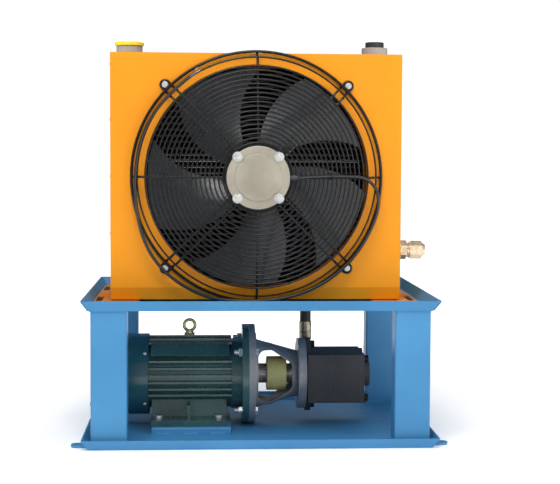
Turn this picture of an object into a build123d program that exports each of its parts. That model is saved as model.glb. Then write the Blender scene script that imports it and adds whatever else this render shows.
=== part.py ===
"""Free-standing hydraulic oil cooler: a two-tray steel stand with an air-blast cooler on top and an
electric motor, bell housing and gear pump below.

World frame, millimetres: X to the right, Y to the rear, Z up, origin at the centre of the stand's underside.
"""
from build123d import *
from math import atan, cos, degrees, pi, radians, sin, sqrt, tan
import os

os.makedirs("parts", exist_ok=True)

# ---------------------------------------------------------------- driving dimensions
# Stand
floor_length = 810.0          # tray floor along X
floor_width = 624.0           # tray floor along Y
sheet = 3.0                   # tray plate thickness
lip_height = 25.0
lip_flare = 16.5              # how far each lip leans out
upper_base = 326.0            # underside of the upper tray
post_length = 85.0            # post section along X
post_width = 60.0             # post section along Y
post_inset = 5.0              # from the tray floor's edge
post_wall = 4.0
lug_x, lug_y = 432.0, 270.0   # anchor hole positions
lug_radius = 17.0
lug_hole = 9.0
lug_thick = 6.0
riser_height = 15.0
riser_length = 196.0
riser_width = 292.0
riser_x = -166.0

# Cooler
cooler_x = -8.0               # the cooler sits a little left of the stand's middle
cooler_length = 707.0
cooler_base = 338.0
cooler_top = 936.0
cooler_front = -170.0
core_front = 60.0
core_back = 160.0
tank_width = 64.0
tank_wall = 5.0
end_plate = 6.0
boss_radius = 34.0
boss_height = 38.0
port_radius = 20.0
side_port_height = 442.0
rear_port_height = 846.0
tube_count = 36
tube_height = 5.0
foot_reach = 395.0            # half width over the foot plates
foot_plate = 4.0
pad_thick = 2.0
slot_length, slot_width = 122.0, 16.0

# Fan
duct_radius = 272.0
blade_tip = 265.0
blade_count = 5
guard_pitch = 10.81
guard_rings = 18
guard_first = 82.7
ring_wire = 1.6
rim_wire = 3.0                # the guard's outermost ring
spoke_wire = 2.5
guard_bolt_offset = 221.6
flange_radius = 75.0

# Motor, coupling and pump
shaft_height = sheet + riser_height + 112.0
frame_rear, frame_front = -274.0, -65.0
foot_bolt_x = (-247.0, -98.0)
foot_bolt_y = 95.0
foot_thick = 15.0
motor_flange_radius = 127.0
motor_flange_face = -21.4
motor_flange_back = -38.0
bolt_circle = 107.5
cowl_end = -361.6
bell_rim = 16.4
bell_end = 125.0
pump_drop = 6.5               # the drive shaft sits this much above the pump body's middle
gear_spacing = 44.0
gear_teeth = 11
pump_joint_front = 187.0
pump_joint_rear = 264.0
outlet_x = 142.0
hose_y = 200.0                # the pressure hose climbs this far behind the shaft
hose_radius = 15.0
cable_radius = 4.0

# ---------------------------------------------------------------- derived places
flare = degrees(atan(lip_flare / lip_height))
post_top = upper_base
tray_top = upper_base + sheet
fan_height = (cooler_base + cooler_top) / 2
core_half = cooler_length / 2 - tank_width
fan_place = Plane(origin=(cooler_x, 0, fan_height), x_dir=(1, 0, 0), z_dir=(0, -1, 0))
drive_place = Plane(origin=(0, 0, shaft_height), x_dir=(0, 1, 0), z_dir=(1, 0, 0))
pieces = []


def finish(name, builder):
    """Label a finished piece and write its STEP file."""
    builder.part.label = name
    export_step(builder.part, f"parts/{name}.step")
    pieces.append(name)


def polar(radius, angle):
    """Point at a radius and an angle in degrees."""
    return (radius * cos(radians(angle)), radius * sin(radians(angle)))


def rod(radius, start, end, mode=Mode.ADD):
    """Cylinder along the local Z axis from start to end."""
    with Locations((0, 0, start)):
        Cylinder(radius, end - start, align=(Align.CENTER, Align.CENTER, Align.MIN), mode=mode)


def block(low, high, mode=Mode.ADD):
    """Box between two opposite corners."""
    with Locations(low):
        Box(high[0] - low[0], high[1] - low[1], high[2] - low[2], align=(Align.MIN,) * 3, mode=mode)


def hex_prism(plane, across_flats, start, end, mode=Mode.ADD):
    """Hexagonal prism on a plane, from start to end along its normal."""
    with BuildSketch(plane.offset(start)) as hexagon:
        RegularPolygon(across_flats / sqrt(3), 6)
    extrude(hexagon.sketch, amount=end - start, mode=mode)


def disc(plane, radius, start, end, mode=Mode.ADD):
    """Cylinder on a plane, from start to end along its normal."""
    with BuildSketch(plane.offset(start)) as circle:
        Circle(radius)
    extrude(circle.sketch, amount=end - start, mode=mode)


def hex_bolt(diameter, length, flange=0.0, flange_share=0.95):
    """Hexagon bolt, with or without a washer face: head underside on the local XY plane, shank down -Z."""
    with BuildPart() as bolt:
        rod(diameter / 2, -length, 0)
        if flange:
            rod(flange_share * diameter, 0, flange)
        hex_prism(Plane.XY, 1.6 * diameter, flange, flange + 0.62 * diameter)
        chamfer(bolt.faces().sort_by(Axis.Z)[-1].edges(), 0.08 * diameter)
        chamfer(bolt.faces().sort_by(Axis.Z)[0].edges(), 0.1 * diameter)
    return bolt.part


def hex_nut(diameter):
    """Hexagon nut standing on the local XY plane."""
    with BuildPart() as nut:
        hex_prism(Plane.XY, 1.6 * diameter, 0, 0.8 * diameter)
        chamfer(nut.faces().sort_by(Axis.Z)[-1].edges(), 0.08 * diameter)
        rod(diameter / 2 + 0.05, -1, diameter, mode=Mode.SUBTRACT)
    return nut.part


def cap_screw(diameter, length):
    """Socket-head screw: head underside on the local XY plane, shank down -Z."""
    with BuildPart() as screw:
        rod(diameter / 2, -length, 0)
        rod(0.78 * diameter, 0, 0.9 * diameter)
        chamfer(screw.faces().sort_by(Axis.Z)[-1].edges(), 0.08 * diameter)
        hex_prism(Plane.XY, 0.8 * diameter, 0.4 * diameter, diameter, mode=Mode.SUBTRACT)
    return screw.part


# ================================================================ stand
def tray(base):
    """Folded pan: a flat floor with four flared lips, mitred at the corners."""
    lip_wall = sheet / cos(radians(flare)) - sheet * tan(radians(flare))
    with BuildPart() as pan:
        with BuildSketch(Plane.XY.offset(base)):
            Rectangle(floor_length, floor_width)
        extrude(amount=lip_height, taper=-flare)
        with BuildSketch(Plane.XY.offset(base + sheet)):
            Rectangle(floor_length - 2 * lip_wall, floor_width - 2 * lip_wall)
        extrude(amount=lip_height, taper=-flare, mode=Mode.SUBTRACT)
    return pan.part


with BuildPart() as base_tray:
    add(tray(0))
    with BuildSketch(Plane.XY):
        with GridLocations(2 * lug_x, 2 * lug_y, 2, 2):
            Circle(lug_radius)
        with GridLocations(2 * (lug_x - 13), 2 * lug_y, 2, 2):
            Rectangle(26, 2 * lug_radius)
        with GridLocations(2 * lug_x, 2 * lug_y, 2, 2):
            Circle(lug_hole, mode=Mode.SUBTRACT)
    extrude(amount=lug_thick)
finish("base_tray", base_tray)

post_x = floor_length / 2 - post_inset - post_length / 2
post_y = floor_width / 2 - post_inset - post_width / 2
with BuildPart() as posts:
    with BuildSketch(Plane.XY.offset(sheet)):
        with GridLocations(2 * post_x, 2 * post_y, 2, 2):
            RectangleRounded(post_length, post_width, 5)
        with GridLocations(2 * post_x, 2 * post_y, 2, 2):
            RectangleRounded(post_length - 2 * post_wall, post_width - 2 * post_wall, 2, mode=Mode.SUBTRACT)
    extrude(amount=post_top - sheet)
finish("posts", posts)

foot_bolt_places = [(cooler_x + side * 325.0, y) for side in (-1, 1) for y in (-120.0, 30.0)]
with BuildPart() as upper_tray:
    add(tray(upper_base))
    with Locations((outlet_x, hose_y, upper_base)):
        Cylinder(22, 4 * sheet, mode=Mode.SUBTRACT)
    with Locations(*[(x, y, upper_base) for x, y in foot_bolt_places]):
        Cylinder(5.5, 4 * sheet, mode=Mode.SUBTRACT)
finish("upper_tray", upper_tray)

riser_top = sheet + riser_height
with BuildPart() as motor_riser:
    block(
        (riser_x - riser_length / 2, -riser_width / 2, sheet),
        (riser_x + riser_length / 2, riser_width / 2, riser_top),
    )
    fillet(motor_riser.faces().sort_by(Axis.Z)[-1].edges().filter_by(Axis.X), 4)
    block(
        (riser_x - riser_length / 2, -riser_width / 2 + sheet, sheet),
        (riser_x + riser_length / 2, riser_width / 2 - sheet, riser_top - sheet),
        mode=Mode.SUBTRACT,
    )
    with Locations(*[(x, side * foot_bolt_y, riser_top) for side in (-1, 1) for x in foot_bolt_x]):
        Cylinder(5.5, 4 * sheet, mode=Mode.SUBTRACT)
finish("motor_riser", motor_riser)

# ================================================================ cooler
cooler_half = cooler_length / 2
shroud_sheet = 2.0
rear_flange = 20.0
hem_height, hem_depth = 30.0, 9.0   # the front's lower edge is bent back by this much


def box_profile(inset):
    """Side outline of the sheet box, drawn on the middle plane."""
    with BuildSketch(Plane.YZ.offset(cooler_x)) as outline:
        with BuildLine():
            Polyline(
                (core_front, cooler_base),
                (core_front, cooler_top),
                (cooler_front, cooler_top),
                (cooler_front, cooler_base + hem_height),
                (cooler_front + hem_depth, cooler_base),
                close=True,
            )
        make_face()
        if inset:
            offset(amount=-inset, mode=Mode.REPLACE)
    return outline.sketch


with BuildPart() as shroud:
    extrude(box_profile(0), amount=cooler_half, both=True)
    extrude(box_profile(shroud_sheet), amount=cooler_half - shroud_sheet, both=True, mode=Mode.SUBTRACT)
    block(
        (cooler_x - cooler_half + rear_flange, core_front - 2 * shroud_sheet, cooler_base + rear_flange),
        (cooler_x + cooler_half - rear_flange, core_front + 1, cooler_top - rear_flange),
        mode=Mode.SUBTRACT,
    )
    with BuildSketch(fan_place.offset(-cooler_front)):
        Circle(duct_radius + shroud_sheet)
    extrude(amount=-36)
    with BuildSketch(fan_place.offset(-cooler_front)):
        Circle(duct_radius)
    extrude(amount=-40, mode=Mode.SUBTRACT)
    with BuildSketch(fan_place.offset(-cooler_front)):
        with GridLocations(2 * guard_bolt_offset, 2 * guard_bolt_offset, 2, 2):
            Circle(4.5)
    extrude(amount=-3 * shroud_sheet, mode=Mode.SUBTRACT)
    with Locations(*[(x, y, cooler_base) for x, y in foot_bolt_places]):
        Cylinder(5.5, 4 * sheet, mode=Mode.SUBTRACT)
finish("shroud", shroud)

core_base = cooler_base + end_plate
core_height = cooler_top - cooler_base - 2 * end_plate
fin_height = (core_height - tube_count * tube_height) / (tube_count + 1)
row_pitch = tube_height + fin_height
tube_rows = [core_base + fin_height + tube_height / 2 + row * row_pitch for row in range(tube_count)]
core_middle = (core_front + core_back) / 2
tube_depth = core_back - core_front - 10

with BuildPart() as core_side_plates:
    for base in (cooler_base, cooler_top - end_plate):
        block((cooler_x - core_half, core_front, base), (cooler_x + core_half, core_back, base + end_plate))
finish("core_side_plates", core_side_plates)

with BuildPart() as core_tubes:
    with Locations(*[(cooler_x, core_middle, z) for z in tube_rows]):
        Box(2 * core_half, tube_depth, tube_height)
        Box(2 * core_half, tube_depth - 12, tube_height - 2, mode=Mode.SUBTRACT)
finish("core_tubes", core_tubes)

fin_folds = 24
fin_thick = 0.6
with BuildPart() as fin_strip:
    with BuildSketch(Plane.XZ.offset(-tube_depth / 2)):
        fold = 2 * core_half / fin_folds
        rise = fin_height - fin_thick - 0.1
        top_line = [
            (-core_half + fin_thick + (fold - 2 * fin_thick / fin_folds) * n, rise / 2 if n % 2 else -rise / 2)
            for n in range(fin_folds + 1)
        ]
        with BuildLine():
            Polyline(*[(x, z + fin_thick) for x, z in top_line], *reversed(top_line), close=True)
        make_face()
    extrude(amount=tube_depth)
with BuildPart() as core_fins:
    with Locations(*[
        (cooler_x, core_middle, core_base + fin_height / 2 - fin_thick / 2 + row * row_pitch)
        for row in range(tube_count + 1)
    ]):
        add(fin_strip.part)
finish("core_fins", core_fins)


def header_tank(side):
    """Welded aluminium end tank, open towards the core, with a port boss on top."""
    outer = cooler_x + side * cooler_half
    inner = cooler_x + side * core_half
    top_port = Plane.XY.offset(cooler_top)
    port_x = (outer + inner) / 2
    low_x, high_x = min(outer, inner), max(outer, inner)
    cavity_low = low_x + (tank_wall if side < 0 else -1)
    cavity_high = high_x - (tank_wall if side > 0 else -1)
    with BuildPart() as tank:
        block((low_x, core_front, cooler_base), (high_x, core_back, cooler_top))
        fillet(tank.edges().filter_by(Axis.Z).group_by(Axis.X)[0 if side < 0 else -1], 8)
        block(
            (cavity_low, core_front + tank_wall, cooler_base + tank_wall),
            (cavity_high, core_back - tank_wall, cooler_top - tank_wall),
            mode=Mode.SUBTRACT,
        )
        with BuildSketch(top_port):
            with Locations((port_x, core_middle)):
                Circle(boss_radius)
        extrude(amount=boss_height)
        chamfer(tank.faces().sort_by(Axis.Z)[-1].edges(), 1.5)
        with BuildSketch(top_port.offset(boss_height)):
            with Locations((port_x, core_middle)):
                Circle(port_radius)
        extrude(amount=-boss_height - 2 * tank_wall, mode=Mode.SUBTRACT)
        if side > 0:
            side_plane = Plane(origin=(outer, core_middle, side_port_height), z_dir=(1, 0, 0))
            rear_plane = Plane(origin=(port_x, core_back, rear_port_height), z_dir=(0, 1, 0))
            for plane in (side_plane, rear_plane):
                with BuildSketch(plane):
                    Circle(boss_radius)
                extrude(amount=boss_height)
                with BuildSketch(plane.offset(boss_height)):
                    Circle(port_radius)
                extrude(amount=-boss_height - 2 * tank_wall, mode=Mode.SUBTRACT)
    return tank


header_tank_left = header_tank(-1)
finish("header_tank_left", header_tank_left)
header_tank_right = header_tank(1)
finish("header_tank_right", header_tank_right)

port_x_left = cooler_x - (cooler_half + core_half) / 2
port_x_right = cooler_x + (cooler_half + core_half) / 2
boss_top = cooler_top + boss_height
plug_slack = 0.06

with BuildPart(Plane(origin=(port_x_left, core_middle, boss_top))) as outlet_plug:
    rod(37.5, 0, 9)
    fillet(outlet_plug.edges().group_by(Axis.Z)[-1], 2)
    rod(port_radius - plug_slack, -24, 0)
    rod(port_radius - 4, -25, 4, mode=Mode.SUBTRACT)
finish("outlet_plug", outlet_plug)

with BuildPart(Plane(origin=(port_x_right, core_middle, boss_top))) as upper_port_cap:
    rod(24.3, 0, 15)
    fillet(upper_port_cap.edges().group_by(Axis.Z)[-1], 2.5)
    rod(port_radius - plug_slack, -22, 0)
    rod(port_radius - 4, -23, 8, mode=Mode.SUBTRACT)
finish("upper_port_cap", upper_port_cap)

# Blanked side port: stud with locknut, and a hexagon cap screwed over the stud.
side_port = Plane(origin=(cooler_x + cooler_half + boss_height, core_middle, side_port_height), z_dir=(1, 0, 0))
with BuildPart(side_port) as side_port_stud:
    rod(port_radius - 0.05, -30, 50)
    chamfer(side_port_stud.edges().group_by(Axis.X)[-1], 2)
finish("side_port_stud", side_port_stud)

with BuildPart(side_port) as side_port_nut:
    rod(27, 0, 3)
    hex_prism(side_port, 44, 3, 20)
    chamfer(side_port_nut.faces().sort_by(Axis.X)[-1].edges(), 2)
    rod(port_radius + 0.05, -1, 21, mode=Mode.SUBTRACT)
finish("side_port_nut", side_port_nut)

with BuildPart(side_port) as side_port_cap:
    rod(22.5, 26, 30)
    hex_prism(side_port, 42, 30, 60)
    with BuildSketch(side_port.offset(60)):
        Circle(20)
    extrude(amount=9, taper=35)
    rod(port_radius + 0.05, 25, 51, mode=Mode.SUBTRACT)
finish("side_port_cap", side_port_cap)


def foot(side):
    """Foot plate with two long slots and a low seat under the cooler."""
    inner, outer = side * 285.0, side * foot_reach
    low_x, high_x = cooler_x + min(inner, outer), cooler_x + max(inner, outer)
    plate_base = tray_top + pad_thick
    plate_top = plate_base + foot_plate
    seat = sorted((cooler_x + side * 292.0, cooler_x + side * 345.0))
    slot_x = cooler_x + side * 383.5
    with BuildPart() as plate:
        block((low_x, -195, plate_base), (high_x, 245, plate_top))
        block((seat[0], -150, plate_top), (seat[1], core_back, cooler_base))
        with BuildSketch(Plane.XY.offset(plate_top)):
            with Locations((slot_x, -107), (slot_x, 158)):
                SlotOverall(slot_length, slot_width, rotation=90)
        extrude(amount=-foot_plate, mode=Mode.SUBTRACT)
        with Locations(*[(x, y, plate_top) for x, y in foot_bolt_places]):
            Cylinder(5.5, 30, mode=Mode.SUBTRACT)
    return plate


foot_left = foot(-1)
finish("foot_left", foot_left)
foot_right = foot(1)
finish("foot_right", foot_right)

with BuildPart() as foot_pads:
    for side in (-1, 1):
        pad_x = cooler_x + side * (285.0 + foot_reach) / 2
        with Locations((pad_x, 25, tray_top + pad_thick / 2)):
            Box(foot_reach - 285.0, 440, pad_thick)
    with Locations(*[(x, y, tray_top) for x, y in foot_bolt_places]):
        Cylinder(5.5, 30, mode=Mode.SUBTRACT)
finish("foot_pads", foot_pads)

# ================================================================ fan (local Z points to the viewer)
guard_inner, guard_shoulder = 60.0, 280.0
guard_front, guard_shoulder_z = 253.2, 206.0
panel_z = -cooler_front
guard_slope = (guard_front - guard_shoulder_z) / (guard_shoulder - guard_inner)
loop_radius = guard_bolt_offset * sqrt(2)
wire_gap = 10.5
loop_z = panel_z + spoke_wire + 0.1


def guard_z(radius):
    """Height of the spoke line over the fan's origin plane."""
    if radius <= guard_shoulder:
        return guard_front - guard_slope * (radius - guard_inner)
    return guard_shoulder_z - (radius - guard_shoulder) * (guard_shoulder_z - loop_z) / 20.0


with BuildPart() as looped_spoke:
    with BuildLine() as spoke_path:
        FilletPolyline(
            (guard_inner, wire_gap, guard_front),
            (guard_shoulder, wire_gap, guard_shoulder_z),
            (guard_shoulder + 20, wire_gap, loop_z),
            (loop_radius, wire_gap, loop_z),
            radius=(12, 6),
        )
        ThreePointArc(
            (loop_radius, wire_gap, loop_z),
            (loop_radius + wire_gap, 0, loop_z),
            (loop_radius, -wire_gap, loop_z),
        )
        FilletPolyline(
            (loop_radius, -wire_gap, loop_z),
            (guard_shoulder + 20, -wire_gap, loop_z),
            (guard_shoulder, -wire_gap, guard_shoulder_z),
            (guard_inner, -wire_gap, guard_front),
            radius=(6, 12),
        )
    with BuildSketch(Plane(origin=spoke_path.line @ 0, z_dir=spoke_path.line % 0)):
        Circle(spoke_wire)
    sweep()

with BuildPart() as single_spoke:
    with BuildLine() as short_path:
        FilletPolyline(
            (guard_inner + 24, 0, guard_z(guard_inner + 24)),
            (guard_shoulder, 0, guard_shoulder_z),
            (guard_shoulder + 19, 0, guard_z(guard_shoulder + 19)),
            radius=12,
        )
    with BuildSketch(Plane(origin=short_path.line @ 0, z_dir=short_path.line % 0)):
        Circle(spoke_wire)
    sweep()

ring_lift = spoke_wire + ring_wire + 0.2
ring_radii = [guard_first + guard_pitch * n for n in range(guard_rings)] + [288.0]
with BuildPart(fan_place) as fan_guard:
    with PolarLocations(0, 4, start_angle=45):
        add(looped_spoke.part)
    with PolarLocations(0, 4):
        add(single_spoke.part)
    for radius in ring_radii:
        with Locations((0, 0, guard_z(radius) + ring_lift)):
            Torus(radius, ring_wire)
    with Locations((0, 0, loop_z + spoke_wire + rim_wire + 0.2)):
        Torus(302.5, rim_wire)
    rod(80, 243, 246.4)
    rod(44, 242, 247, mode=Mode.SUBTRACT)
    with BuildSketch(fan_place.offset(247)):
        with GridLocations(97.6, 97.6, 2, 2):
            Circle(4.2)
    extrude(amount=-5, mode=Mode.SUBTRACT)
finish("fan_guard", fan_guard)

with BuildPart(fan_place) as guard_bolts:
    with Locations((0, 0, loop_z + spoke_wire + 0.1)):
        with GridLocations(2 * guard_bolt_offset, 2 * guard_bolt_offset, 2, 2):
            add(hex_bolt(8, 16, flange=2.5))
finish("guard_bolts", guard_bolts)

flange_back, flange_front = 256.2, 268.0
bearing_radius, fan_shaft_radius, tube_outer = 16.0, 6.0, 20.0
screw_span = 97.6
with BuildPart(fan_place) as fan_motor_flange:
    with BuildSketch(fan_place.offset(flange_back)):
        Circle(flange_radius)
        with GridLocations(screw_span, screw_span, 2, 2):
            Circle(12.5)
    extrude(amount=flange_front - flange_back)
    chamfer(fan_motor_flange.faces().sort_by(Axis.Y)[0].edges(), 1.2)
    with BuildSketch(fan_place.offset(flange_front)):
        Circle(56)
        with GridLocations(screw_span, screw_span, 2, 2):
            Circle(16, mode=Mode.SUBTRACT)
    extrude(amount=3.5)
    chamfer(fan_motor_flange.faces().sort_by(Axis.Y)[0].edges(), 1.5)
    rod(tube_outer, 150, flange_back)
    rod(bearing_radius + 0.05, 149, flange_back - 3, mode=Mode.SUBTRACT)
    with BuildSketch(fan_place.offset(flange_front)):
        with GridLocations(screw_span, screw_span, 2, 2):
            Circle(4.2)
    extrude(amount=flange_back - flange_front, mode=Mode.SUBTRACT)
finish("fan_motor_flange", fan_motor_flange)

with BuildPart(fan_place) as flange_screws:
    with Locations((0, 0, flange_front)):
        with GridLocations(screw_span, screw_span, 2, 2):
            add(hex_bolt(8, 28, flange=1.8, flange_share=1.4))
finish("flange_screws", flange_screws)

can_radius, can_front, can_back = 69.0, 239.0, 130.0
with BuildPart(fan_place) as fan_rotor_can:
    rod(can_radius, can_back, can_front)
    fillet(fan_rotor_can.edges().group_by(Axis.Y)[-1], 8)
    rod(can_radius - 6, can_back + 8, can_front + 1, mode=Mode.SUBTRACT)
    rod(fan_shaft_radius + 0.02, can_back - 1, can_back + 9, mode=Mode.SUBTRACT)
finish("fan_rotor_can", fan_rotor_can)

with BuildPart(fan_place) as fan_shaft:
    rod(fan_shaft_radius, can_back, flange_back - 5)
    rod(fan_shaft_radius + 3, can_back + 8, can_back + 18)
finish("fan_shaft", fan_shaft)

with BuildPart(fan_place) as fan_bearings:
    for start in (156.0, 238.0):
        rod(bearing_radius, start, start + 10)
        rod(fan_shaft_radius + 0.05, start - 1, start + 11, mode=Mode.SUBTRACT)
finish("fan_bearings", fan_bearings)

with BuildPart(fan_place) as fan_stator:
    rod(can_radius - 10, 160, 232)
    fillet(fan_stator.edges().group_by(Axis.Y)[0], 6)
    rod(tube_outer + 0.1, 159, 233, mode=Mode.SUBTRACT)
finish("fan_stator", fan_stator)

# One swept blade: a twisted slab trimmed to the blade's outline.
blade_middle = 170.0
blade_rise = 0.8              # axial travel per degree
blade_thick = 3.0
half_chord = 24.0
tip_sweep = 22.0
hub_shell = can_radius + 5.0
with BuildPart() as blade:
    for angle in (-54, -33, -12, 9, 30):
        axis_out = (cos(radians(angle)), sin(radians(angle)), 0)
        across = (-sin(radians(angle)), cos(radians(angle)), 0)
        with BuildSketch(Plane(origin=(0, 0, blade_middle + blade_rise * angle), x_dir=axis_out, z_dir=across)):
            with Locations((175, 0)):
                Rectangle(230, blade_thick)
    loft()
    with BuildSketch(Plane.XY.offset(100)):
        with BuildLine():
            leading = ThreePointArc(
                polar(hub_shell - 2, half_chord),
                polar(175, half_chord - 0.35 * tip_sweep),
                polar(blade_tip, half_chord - tip_sweep),
            )
            tip = ThreePointArc(
                leading @ 1, polar(blade_tip, -tip_sweep), polar(blade_tip, -half_chord - tip_sweep)
            )
            trailing = ThreePointArc(
                tip @ 1,
                polar(175, -half_chord - 0.35 * tip_sweep),
                polar(hub_shell - 2, -half_chord),
            )
            ThreePointArc(trailing @ 1, polar(hub_shell - 2, 0), leading @ 0)
        make_face()
    extrude(amount=120, mode=Mode.INTERSECT)

with BuildPart(fan_place) as fan_blades:
    rod(hub_shell, 140, 204)
    rod(can_radius + 0.05, 139, 205, mode=Mode.SUBTRACT)
    with PolarLocations(0, blade_count, start_angle=-10):
        add(blade.part)
finish("fan_blades", fan_blades)

# ================================================================ fan cable
cable_route = [
    (86, -262.2, 637),
    (147, -246, 641),
    (207, -233, 641),
    (254, -224, 638),
    (287, -208, 603),
    (285, -200, 545),
    (238, -199, 452),
    (164, -198, 383),
    (71, -196, 343),
    (-29, -195, 336),
    (-129, -197, 344),
    (-214, -199, 391),
    (-269, -199, 454),
    (-295, -198, 532),
    (-303, -203, 636),
    (-286, -206, 738),
    (-232, -207, 826),
    (-170, -206, 876),
]


def route_radii(points):
    """Largest tangent arc that each corner of a cord's route allows."""
    corners = [Vector(*point) for point in points]
    radii = []
    for before, corner, after in zip(corners, corners[1:], corners[2:]):
        turn = (corner - before).get_angle(after - corner)
        shorter = min((corner - before).length, (after - corner).length)
        radii.append(0.45 * shorter / tan(radians(turn / 2)))
    return radii


def cord_tube(points, radius):
    """Round tube along straight runs joined by tangent arcs."""
    radii = route_radii(points)
    with BuildPart() as tube:
        with BuildLine() as path:
            FilletPolyline(*points, radius=radii)
        with BuildSketch(Plane(origin=path.line @ 0, z_dir=path.line % 0)):
            Circle(radius)
        sweep()
    length = sum(edge.length for edge in path.edges())
    print("cord length", round(length, 1), "radii", [round(r) for r in radii])
    print("cord volume over section x length", round(tube.part.volume / (pi * radius**2 * length), 4))
    return tube


fan_cable = cord_tube(cable_route, cable_radius)
finish("fan_cable", fan_cable)

gland_place = Plane(
    origin=(cooler_x + flange_radius - 1, cable_route[0][1], fan_height), x_dir=(0, 1, 0), z_dir=(1, 0, 0)
)
with BuildPart(gland_place) as fan_cable_gland:
    rod(5.6, 0, 6)
    hex_prism(gland_place, 12, 6, 12)
    rod(5.8, 12, 20)
    rod(cable_radius + 0.05, 15, 21, mode=Mode.SUBTRACT)
    with BuildSketch(fan_place.offset(flange_back - 20)):
        Circle(flange_radius + 0.2)
    extrude(amount=40, mode=Mode.SUBTRACT)
finish("fan_cable_gland", fan_cable_gland)


def cable_tie(cable_point, wire_point, along):
    """Flat band around the cable and the guard wire beside it."""
    cable_centre, wire_centre = Vector(*cable_point), Vector(*wire_point)
    apart = wire_centre - cable_centre
    band = Plane(origin=(cable_centre + wire_centre) / 2, x_dir=apart, z_dir=along)
    with BuildPart() as tie:
        with BuildSketch(band.offset(-1.8)):
            SlotCenterToCenter(apart.length, 2 * cable_radius + 3.6)
            SlotCenterToCenter(apart.length, 2 * cable_radius + 1.2, mode=Mode.SUBTRACT)
        extrude(amount=3.6)
        with BuildSketch(band.offset(-2.5)):
            with Locations((-apart.length / 2, cable_radius + 3.2)):
                Rectangle(5, 4)
        extrude(amount=5)
    return tie.part


def tie_on_spoke(radius, angle):
    """Tie round the cable where it lies on a straight spoke."""
    across, up = polar(radius, angle)
    return Vector(cooler_x + across, -guard_z(radius), fan_height + up)


with BuildPart() as cable_ties:
    add(cable_tie((166.6, -241.8, 641), tie_on_spoke(174.6, 0), (0.977, 0.21, 0)))
finish("cable_ties", cable_ties)

# ================================================================ electric motor (local Z is world +X)
frame_radius, bore_radius, fin_radius = 86.0, 77.5, 98.0
fin_levels = (84, 43, 26, 8, -9, -26, -42)
with BuildPart(drive_place) as motor_frame:
    with BuildSketch(drive_place.offset(frame_rear)):
        Circle(frame_radius)
        for level in fin_levels:
            with Locations((0, level)):
                Rectangle(2 * sqrt(fin_radius**2 - level**2), 5)
        for across in (-27, -9, 9, 27):
            with Locations((across, 86)):
                Rectangle(4.5, 2 * (sqrt(fin_radius**2 - across**2) - 86))
        Circle(bore_radius, mode=Mode.SUBTRACT)
    extrude(amount=frame_front - frame_rear)
    with BuildSketch(drive_place.offset(-266)):
        for side in (-1, 1):
            with BuildLine():
                Polyline(
                    (side * 133, -112),
                    (side * 133, foot_thick - 112),
                    (side * 71, foot_thick - 112),
                    (side * 66, -56),
                    (side * 48, -66),
                    (side * 52, -112),
                    close=True,
                )
            make_face()
        Circle(bore_radius, mode=Mode.SUBTRACT)
    extrude(amount=188)
    with BuildSketch(drive_place.offset(-267)):
        for side in (-1, 1):
            with BuildLine():
                Polyline((side * 50, 84), (side * 66, 84), (side * 92, 59), (side * 60, 55), close=True)
            make_face()
    extrude(amount=195)
    for low, high in ((-131, -66), (66, 131)):
        block((low, foot_thick - 114, -176), (high, -60, -170))
    block((60, -34, -216), (104, 34, -124))
    with Locations((0, 94, -171.6)):
        Box(26, 22, 26)
    with BuildSketch(drive_place.offset(frame_rear)):
        Circle(bore_radius)
    extrude(amount=frame_front - frame_rear, mode=Mode.SUBTRACT)
    with Locations(*[(side * foot_bolt_y, foot_thick / 2 - 112, x) for side in (-1, 1) for x in foot_bolt_x]):
        Cylinder(5.5, 40, rotation=(90, 0, 0), mode=Mode.SUBTRACT)
    with Locations((0, 98, -171.6)):
        Cylinder(5.05, 30, rotation=(90, 0, 0), mode=Mode.SUBTRACT)
finish("motor_frame", motor_frame)

motor_bearing, shaft_seat, shaft_radius = 31.0, 15.0, 14.0
flange_holes = [polar(bolt_circle, 52 + 90 * n) for n in range(4)]
with BuildPart(drive_place) as motor_front_shield:
    rod(90, frame_front, motor_flange_back)
    rod(motor_flange_radius, motor_flange_back, motor_flange_face)
    fillet(motor_front_shield.edges().group_by(Axis.X)[-1], 1.5)
    rod(89.95, motor_flange_face, motor_flange_face + 4)
    rod(motor_bearing + 0.05, frame_front - 1, frame_front + 18, mode=Mode.SUBTRACT)
    rod(shaft_seat + 2, frame_front, 0, mode=Mode.SUBTRACT)
    with Locations(*[(y, z, motor_flange_face) for y, z in flange_holes]):
        Cylinder(6.5, 50, mode=Mode.SUBTRACT)
finish("motor_front_shield", motor_front_shield)

cowl_radius, cowl_wall = 103.2, 1.6
with BuildPart(drive_place) as motor_rear_shield:
    rod(frame_radius, frame_rear - 14, frame_rear)
    rod(44, frame_rear - 20, frame_rear)
    for angle in (45, 135, 225, 315):
        with Locations((*polar(90, angle), frame_rear - 7)):
            Box(26, 18, 14, rotation=(0, 0, angle))
    rod(cowl_radius - cowl_wall - 0.2, frame_rear - 30, frame_rear + 1, mode=Mode.INTERSECT)
    rod(motor_bearing + 0.05, frame_rear - 16, frame_rear + 1, mode=Mode.SUBTRACT)
    rod(shaft_seat + 2, frame_rear - 31, frame_rear, mode=Mode.SUBTRACT)
finish("motor_rear_shield", motor_rear_shield)

with BuildPart(drive_place) as motor_cowl:
    rod(cowl_radius, cowl_end, frame_rear - 0.2)
    fillet(motor_cowl.edges().group_by(Axis.X)[0], 16)
    rod(cowl_radius - cowl_wall, cowl_end + cowl_wall + 12, frame_rear + 1, mode=Mode.SUBTRACT)
    rod(cowl_radius - 14, cowl_end + cowl_wall, cowl_end + 20, mode=Mode.SUBTRACT)
    with BuildSketch(drive_place.offset(cowl_end)):
        for radius, count in ((26, 8), (42, 12), (58, 18), (74, 24)):
            with PolarLocations(radius, count):
                SlotOverall(11, 5.5, rotation=90)
    extrude(amount=5, mode=Mode.SUBTRACT)
finish("motor_cowl", motor_cowl)

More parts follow.
